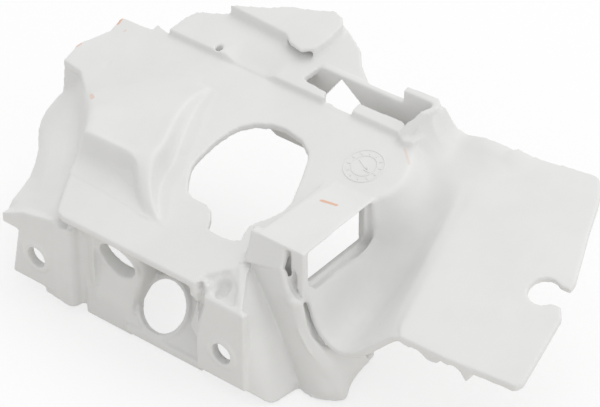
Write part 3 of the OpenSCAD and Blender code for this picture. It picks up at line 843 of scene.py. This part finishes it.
@dataclass
class DateMark:
    """The mould's round date mark: a rim, an inner ring, ticks and a plain arrow.

    The rim and the ring have an inner and an outer radius. A tick, the arrow's shaft and its
    head have a start and an end along their direction, and a width at each end.
    """

    name: str = "date_mark"
    centre: tuple[float, float] = (90.9, 57.7)
    rim: tuple[float, float] = (5.95, 6.4)
    ring: tuple[float, float] = (3.75, 4.05)
    tick: tuple[float, float, float, float] = (4.5, 5.4, 0.34, 0.34)
    ticks: int = 12
    arrow: float = -28.0
    shaft: tuple[float, float, float, float] = (-2.9, 2.1, 0.5, 0.5)
    head: tuple[float, float, float, float] = (1.2, 3.3, 1.7, 0.1)
    height: float = 0.22
    sunk: float = 0.15
    slant: float = 0.1
    bar_growth: tuple[float, float] = (0.08, -0.06)
    ring_steps: int = 72

    def build(self, finish: bpy.types.Material) -> bpy.types.Object:
        """Builds the mark on the plate.

        Args:
            finish: The moulding's material.

        Returns:
            The mark.
        """
        form = bmesh.new()
        for inner, outer in (self.rim, self.ring):
            self._band(form, inner, outer)
        for number in range(self.ticks):
            self._bar(form, 360 / self.ticks * (number + 0.5), *self.tick)
        self._bar(form, self.arrow, *self.shaft)
        self._bar(form, self.arrow, *self.head)
        bmesh.ops.recalc_face_normals(form, faces=form.faces)
        mesh = bpy.data.meshes.new(self.name)
        form.to_mesh(mesh)
        form.free()
        mesh.materials.append(finish)
        piece = bpy.data.objects.new(self.name, mesh)
        bpy.context.scene.collection.objects.link(piece)
        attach(piece, BODY)
        log.info("%s: %d triangles", piece.name, triangle_count(mesh))
        return piece

    def _on_plate(self, x: float, y: float, up: float) -> Vector:
        """Finds a place on the plate.

        Args:
            x: Millimetres to the right of the mark's centre.
            y: Millimetres up the plate from there.
            up: Millimetres above the plate.

        Returns:
            The place in the frame.
        """
        cx, cy = self.centre
        cos, sin = math.cos(PLATE_LEAN), math.sin(PLATE_LEAN)
        flat = cy + y * cos - up * sin
        rise = plate_height(cy) + y * sin + up * cos
        return drawn(cx + x, flat, rise)

    def _loft(
        self,
        form: bmesh.types.BMesh,
        foot: list[tuple[float, float]],
        top: list[tuple[float, float]],
    ) -> None:
        """Joins two outlines, one sunk in the plate and one above it, and closes both.

        Args:
            form: Where the faces go.
            foot: The lower outline.
            top: The upper outline, with as many corners.
        """
        low = [form.verts.new(self._on_plate(x, y, -self.sunk)) for x, y in foot]
        high = [form.verts.new(self._on_plate(x, y, self.height)) for x, y in top]
        for k in range(len(low)):
            n = (k + 1) % len(low)
            form.faces.new((low[k], low[n], high[n], high[k]))
        form.faces.new(high)
        form.faces.new(low[::-1])

    def _band(self, form: bmesh.types.BMesh, inner: float, outer: float) -> None:
        """Adds a ring with slanting sides.

        Args:
            form: Where the faces go.
            inner: Its inner radius.
            outer: Its outer radius.
        """
        steps = self.ring_steps
        turns = [2 * math.pi * k / steps for k in range(steps)]
        loops = []
        for radius, up in (
            (inner - self.slant, -self.sunk),
            (inner + self.slant, self.height),
            (outer - self.slant, self.height),
            (outer + self.slant, -self.sunk),
        ):
            places = [(radius * math.cos(turn), radius * math.sin(turn)) for turn in turns]
            loops.append([form.verts.new(self._on_plate(x, y, up)) for x, y in places])
        for first, second in zip(loops, loops[1:] + loops[:1]):
            for k in range(steps):
                n = (k + 1) % steps
                form.faces.new((first[k], first[n], second[n], second[k]))

    def _bar(
        self,
        form: bmesh.types.BMesh,
        turn: float,
        start: float,
        end: float,
        width: float,
        tip: float,
    ) -> None:
        """Adds a straight bar.

        Args:
            form: Where the faces go.
            turn: The bar's direction in degrees.
            start: Where it starts along that direction.
            end: Where it ends.
            width: Its width at the start.
            tip: Its width at the end.
        """
        cos, sin = math.cos(math.radians(turn)), math.sin(math.radians(turn))
        outlines = []
        for grow in self.bar_growth:
            ends = (
                (start - grow, -width / 2 - grow),
                (end + grow, -tip / 2 - grow),
                (end + grow, tip / 2 + grow),
                (start - grow, width / 2 + grow),
            )
            outlines.append([(a * cos - b * sin, a * sin + b * cos) for a, b in ends])
        self._loft(form, *outlines)


@dataclass
class DeckDip:
    """The place where the deck sinks to the plate and leaves only a crease between them.

    It sinks between the first and second number of left and rises again between those of right.
    The last four say which points are its own: how far past the back, below and above the two
    faces they lie, and how far down they may look.
    """

    edge: float = 71.0
    left: tuple[float, float] = (25.2, 32.0)
    right: tuple[float, float] = (47.2, 42.0)
    back: float = 10.0
    step: float = 2.0
    crease: float = 0.4
    riser: float = 0.6
    past: float = 1.5
    below: float = -1.2
    over: float = 0.7
    facing: float = -0.2

    def press(self, shell: "ShellMesh") -> None:
        """Lays the deck's and the plate's face on the dip.

        Args:
            shell: The shell to shape.
        """
        x, y, z = shell.points.T
        plate = plate_height(y)
        above = z - plate
        near = (x > self.left[0]) & (x < self.right[0])
        near &= np.abs(y - self.edge) < self.back + self.past
        near &= (above > self.below) & (above < self.step + self.over)
        near &= shell.normals()[:, 2] > self.facing
        sunk = self._ease((x - self.left[0]) / (self.left[1] - self.left[0]))
        sunk = sunk * self._ease((self.right[0] - x) / (self.right[0] - self.right[1]))
        rise = self._ease((y - self.edge) / self.back)
        low = self.crease + (self.step - self.crease) * rise
        deck = self.step * (1 - sunk) + low * sunk
        target = plate + deck * self._ease((y - self.edge + self.riser / 2) / self.riser)
        shell.points[near, 2] = target[near]
        log.info("deck_dip: %d points pressed", int(near.sum()))

    @staticmethod
    def _ease(share: np.ndarray) -> np.ndarray:
        """Smooth step from 0 to 1."""
        share = np.clip(share, 0, 1)
        return share * share * (3 - 2 * share)


class ShellMesh:
    """A mesh as arrays, in the drawing's millimetres, that can be smoothed and shaped."""

    def __init__(self, mesh: bpy.types.Mesh) -> None:
        """Reads the mesh.

        Args:
            mesh: A mesh in the frame, in metres.
        """
        self.mesh = mesh
        count = len(mesh.vertices)
        flat = np.empty(count * 3, np.float32)
        mesh.vertices.foreach_get("co", flat)
        self.points = flat.reshape(-1, 3).astype(float) / MM - np.array(FRAME_SHIFT)
        pairs = np.empty(len(mesh.edges) * 2, np.int32)
        mesh.edges.foreach_get("vertices", pairs)
        pairs = pairs.reshape(-1, 2)
        both = np.concatenate([pairs, pairs[:, ::-1]])
        both = both[np.argsort(both[:, 0], kind="stable")]
        self.neighbours = both[:, 1]
        self.degree = np.bincount(both[:, 0], minlength=count)
        self.starts = np.concatenate([[0], np.cumsum(self.degree)[:-1]])

    def normals(self) -> np.ndarray:
        """Reads the directions of the faces before any press.

        Returns:
            The outward direction at each point, one row a point.
        """
        flat = np.empty(len(self.points) * 3, np.float32)
        self.mesh.vertex_normals.foreach_get("vector", flat)
        return flat.reshape(-1, 3)

    def around(self, values: np.ndarray) -> np.ndarray:
        """Works out the mean of the neighbours of each point.

        Args:
            values: One row a point.

        Returns:
            The means, one row a point.
        """
        sums = np.add.reduceat(values[self.neighbours], self.starts, axis=0)
        return sums / self.degree[:, None]

    def soften(self, budget: np.ndarray, rate: float = 0.5) -> None:
        """Smooths each point for its number of passes.

        Args:
            budget: Passes of each point.
            rate: Share of the way to the neighbours' mean in one pass.
        """
        for number in range(int(math.ceil(budget.max()))):
            weight = np.clip(budget - number, 0, 1)[:, None] * rate
            self.points += weight * (self.around(self.points) - self.points)

    def store(self) -> None:
        """Writes the points back to the mesh."""
        metres = ((self.points + np.array(FRAME_SHIFT)) * MM).astype(np.float32)
        self.mesh.vertices.foreach_set("co", metres.ravel())
        self.mesh.update()


def triangle_count(mesh: bpy.types.Mesh) -> int:
    """The number of triangles that a mesh comes to."""
    return sum(len(face.vertices) - 2 for face in mesh.polygons)


@dataclass
class MouldedShell:
    """The moulding itself, with the small radii and flowing corners that the tool gives it.

    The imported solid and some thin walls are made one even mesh, which is laid on the flowing
    surfaces, dented, smoothed and thinned.
    """

    name: str = "moulded_shell"
    voxel: float = 0.42
    edge_passes: float = 4.0
    zone_blur: int = 6
    triangles: int = 190_000
    walls: tuple[tuple[FlowSheet, float], ...] = (
        (FlowSheet("channel", CHANNEL_ROWS, False, 4), 2.2),
        (FlowSheet("recess_corner", RECESS_CORNER, False, 4), 1.6),
        (FlowSheet("recess_right", RECESS_RIGHT, False, 4), 1.6),
        (FlowSheet("hood_front", HOOD_FRONT, False, 4), 1.8),
        (FlowSheet("post_face", POST_FACE, False, 2), 1.2),
        (FlowSheet("shelf_end", SHELF_END, False, 2), 1.2),
    )
    zones: tuple[SoftZone, ...] = (
        SoftZone("bulge", BULGE_OUTLINE, 26, 60, 6),
        SoftZone(
            "scoop",
            (
                (99, 30), (99, 50), (101, 60), (96, 68), (97, 71), (104, 71), (104, 82),
                (130, 82), (134, 60), (140, 30), (141, 19), (104, 19), (103, 24),
            ),
            8, 60, 40, 4,
        ),
        SoftZone(
            "channel",
            ((84, 9), (100, 8), (114, 12), (114, 30), (98, 20), (86, 17)),
            -4, 30, 10,
        ),
        SoftZone(
            "skirt",
            ((-8, 3), (14, 3), (14, 12), (4, 30), (-8, 40), (-16, 44), (-22, 38), (-10, 18)),
            14, 46, 7,
        ),
    )
    layings: tuple[Laying, ...] = (
        Laying(FlowSheet("bulge", BULGE_ROWS), BULGE_OUTLINE, 1.5),
        Laying(FlowSheet("channel", CHANNEL_ROWS, False), CHANNEL_FRONT, 1.0, View.FRONT, 3.4),
        Laying(
            FlowSheet("recess_right", RECESS_RIGHT, False),
            RECESS_RIGHT_FRONT, 0.6, View.FRONT, 3.0,
        ),
    )
    dents: tuple[Dent, ...] = (
        Dent("knob", (99.4, 12.8, 29.2), (3, 3, 2.8), 0, (-0.3, 0.8, -0.5), -1.1, 0.8),
        Dent("slit_top", (98, 15.6, 34.6), (0.9, 3, 4.4), 0, (0, 1, 0), 2.4, 0.6),
        Dent("slit_bend", (98.6, 15.6, 30.6), (1.1, 3, 1.4), 0, (0, 1, 0), 2.4, 0.6),
        Dent("slit_foot", (100.2, 15.8, 29.2), (1.2, 3, 1.2), 0, (0, 1, 0), 2.4, 0.6),
        Dent("face_pocket", (80.2, 4.6, 30.4), (2.8, 3.6, 4), -20, (0, 0.5, -0.87), 1.6, 0.45),
        Dent("pad_back", (117.5, 87, 50.5), (16, 12, 8), 7, (0, 0, -1), -2.8, 0.9),
        Dent("plate_dent", (-5.7, 52.8, 46.4), (0.9, 2.2, 2), -10, (0, -0.28, -0.96), 0.3, 0.8),
    )

    def build(self, source: bpy.types.Object, finish: bpy.types.Material) -> bpy.types.Object:
        """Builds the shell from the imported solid.

        Args:
            source: The solid, which stays as it is.
            finish: The shell's material.

        Returns:
            The shell, which replaces the solid.
        """
        mesh = self._even(source)
        log.info("shell: %d points at %.2f mm", len(mesh.vertices), self.voxel)
        shell = ShellMesh(mesh)
        budget = np.full(len(shell.points), self.edge_passes)
        for zone in self.zones:
            budget = np.maximum(budget, zone.budget(shell.points))
        for form in (*self.layings, DeckDip(), *self.dents):
            form.press(shell)
        smooth = budget[:, None]
        for _ in range(self.zone_blur):
            smooth = shell.around(smooth)
        shell.soften(np.maximum(smooth[:, 0], self.edge_passes))
        shell.store()
        piece = self._thinned(mesh)
        piece.data.materials.clear()
        piece.data.materials.append(finish)
        piece.data.polygons.foreach_set("use_smooth", [True] * len(piece.data.polygons))
        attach(piece, BODY)
        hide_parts(NODE)
        log.info("%s: %d triangles", piece.name, len(piece.data.polygons))
        return piece

    def _even(self, source: bpy.types.Object) -> bpy.types.Mesh:
        """Makes the solid and the thin walls one even mesh of small squares.

        Args:
            source: The solid, which stays as it is.

        Returns:
            The mesh, in the frame.
        """
        copy = bpy.data.objects.new("even", source.data.copy())
        bpy.context.scene.collection.objects.link(copy)
        extras = [sheet.solid(thickness) for sheet, thickness in self.walls]
        joined = bmesh.new()
        for item in [copy, *extras]:
            joined.from_mesh(item.data)
        joined.to_mesh(copy.data)
        joined.free()
        for item in extras:
            bpy.data.objects.remove(item)
        remesh = copy.modifiers.new("even", "REMESH")
        remesh.mode = "VOXEL"
        remesh.voxel_size = self.voxel * MM
        remesh.adaptivity = 0.0
        mesh = self._applied(copy)
        bpy.data.objects.remove(copy)
        return mesh

    def _thinned(self, mesh: bpy.types.Mesh) -> bpy.types.Object:
        """Makes the piece with no more triangles than it may have.

        Args:
            mesh: The finished mesh of small squares.

        Returns:
            The piece, linked to the scene.
        """
        draft = bpy.data.objects.new("draft", mesh)
        bpy.context.scene.collection.objects.link(draft)
        draft.modifiers.new("triangles", "TRIANGULATE")
        count = triangle_count(mesh)
        if count > self.triangles:
            thin = draft.modifiers.new("thin", "DECIMATE")
            thin.ratio = self.triangles / count
        piece = bpy.data.objects.new(self.name, self._applied(draft))
        bpy.context.scene.collection.objects.link(piece)
        bpy.data.objects.remove(draft)
        return piece

    @staticmethod
    def _applied(item: bpy.types.Object) -> bpy.types.Mesh:
        """The item's mesh with its modifiers applied."""
        graph = bpy.context.evaluated_depsgraph_get()
        return bpy.data.meshes.new_from_object(item.evaluated_get(graph))


@dataclass
class StudioFloor:
    """A plain white table that the part stands on."""

    height: float
    reach: float = 3.0
    paper: tuple[float, float, float, float] = (0.96, 0.96, 0.96, 1.0)
    bounce: tuple[float, float, float, float] = (0.76, 0.74, 0.71, 1.0)
    lift: float = 0.7

    def build(self) -> bpy.types.Object:
        """Builds the floor.

        Returns:
            The floor, which is no part of the object.
        """
        mesh = bpy.data.meshes.new("studio_floor")
        r, z = self.reach, self.height
        mesh.from_pydata([(-r, -r, z), (r, -r, z), (r, r, z), (-r, r, z)], [], [(0, 1, 2, 3)])
        floor = bpy.data.objects.new("studio_floor", mesh)
        bpy.context.scene.collection.objects.link(floor)
        mesh.materials.append(self._material())
        floor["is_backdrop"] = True
        log.info("floor at %.1f mm", self.height / MM)
        return floor

    def _material(self) -> bpy.types.Material:
        """Builds white paper that keeps part of the shadow where the camera sees it.

        Returns:
            The new material.
        """
        material = bpy.data.materials.new("white_paper")
        material.use_nodes = True
        bench = NodeBench(material.node_tree)
        seen = bench.node("ShaderNodeLightPath", {}, {}, "Is Camera Ray")
        for ray in ("Is Glossy Ray", "Is Transmission Ray"):
            seen = seen.high(bench.node("ShaderNodeLightPath", {}, {}, ray))
        colour = bench.mix_colours(seen, self.bounce, self.paper)
        paper = bench.node("ShaderNodeBsdfDiffuse", {}, {"Color": colour})
        white = bench.node("ShaderNodeEmission", {}, {"Color": WHITE, "Strength": 1.0})
        both = bench.node("ShaderNodeMixShader", {}, {0: seen * self.lift, 1: paper, 2: white})
        bench.node("ShaderNodeOutputMaterial", {}, {"Surface": both})
        return material


@dataclass(frozen=True)
class SoftLamp:
    """A square lamp that looks at the part, with its size and places in metres."""

    name: str
    power: float
    size: float
    place: tuple[float, float, float]
    aim: tuple[float, float, float] = (0.08, 0.04, 0.02)

    def build(self) -> None:
        """Builds the lamp."""
        data = bpy.data.lights.new(self.name, "AREA")
        data.shape = "SQUARE"
        data.size = self.size
        data.energy = self.power
        lamp = bpy.data.objects.new(self.name, data)
        lamp.location = self.place
        lamp.rotation_mode = "QUATERNION"
        way = Vector(self.aim) - Vector(self.place)
        lamp.rotation_quaternion = way.to_track_quat("-Z", "Y")
        bpy.context.scene.collection.objects.link(lamp)
        log.info("%s: %.1f W", self.name, self.power)


@dataclass
class StudioLight:
    """An even white room, a large soft lamp above and a weak one at the right."""

    room: float = 0.80
    lamps: tuple[SoftLamp, ...] = (
        SoftLamp("soft_lamp", 5.4, 1.1, (0.10, 0.68, 1.38)),
        SoftLamp("side_lamp", 2.0, 0.6, (1.26, 0.02, 0.22)),
    )

    def build(self) -> None:
        """Builds the room and the lamps."""
        world = bpy.data.worlds.new("white_room")
        bpy.context.scene.world = world
        world.use_nodes = True
        bench = NodeBench(world.node_tree)
        seen = bench.node("ShaderNodeLightPath", {}, {}, "Is Camera Ray")
        strength = self.room + seen * (1.0 - self.room)
        sky = bench.node("ShaderNodeBackground", {}, {"Color": WHITE, "Strength": strength})
        bench.node("ShaderNodeOutputWorld", {}, {"Surface": sky})
        for lamp in self.lamps:
            lamp.build()


@dataclass
class PhotoCamera:
    """The camera at the photograph's view, with its place and lens in millimetres."""

    place: tuple[float, float, float] = (449.3, -436.2, 485.1)
    right: tuple[float, float, float] = (0.7826, 0.6225, 0.0)
    up: tuple[float, float, float] = (-0.3729, 0.4688, 0.8007)
    back: tuple[float, float, float] = (0.4985, -0.6267, 0.5990)
    lens: float = 156.0
    sensor: float = 36.0
    clip: tuple[float, float] = (0.01, 20.0)

    def build(self) -> None:
        """Builds the camera and makes it the scene's."""
        data = bpy.data.cameras.new("photo_camera")
        data.lens = self.lens
        data.sensor_width = self.sensor
        data.sensor_fit = "HORIZONTAL"
        data.clip_start, data.clip_end = self.clip
        camera = bpy.data.objects.new("photo_camera", data)
        turn = Matrix((self.right, self.up, self.back)).transposed()
        camera.matrix_world = Matrix.Translation(Vector(self.place) * MM) @ turn.to_4x4()
        bpy.context.scene.collection.objects.link(camera)
        bpy.context.scene.camera = camera
        log.info("photo_camera: %.0f mm lens", self.lens)


def corners(box: tuple[Vector, Vector]) -> list[list[float]]:
    """A box as plain lists of numbers."""
    return [[float(value) for value in corner] for corner in box]


def main() -> None:
    """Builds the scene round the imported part."""
    solid_box = corners(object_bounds())
    PhotoCamera().build()
    finish = SatinResin().material()
    MouldedShell().build(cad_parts[NODE], finish)
    DateMark().build(finish)
    StudioFloor(solid_box[0][2]).build()
    StudioLight().build()
    bpy.context.scene.view_settings.view_transform = "Standard"
    bpy.context.view_layer.update()


if __name__ == "__main__":
    main()
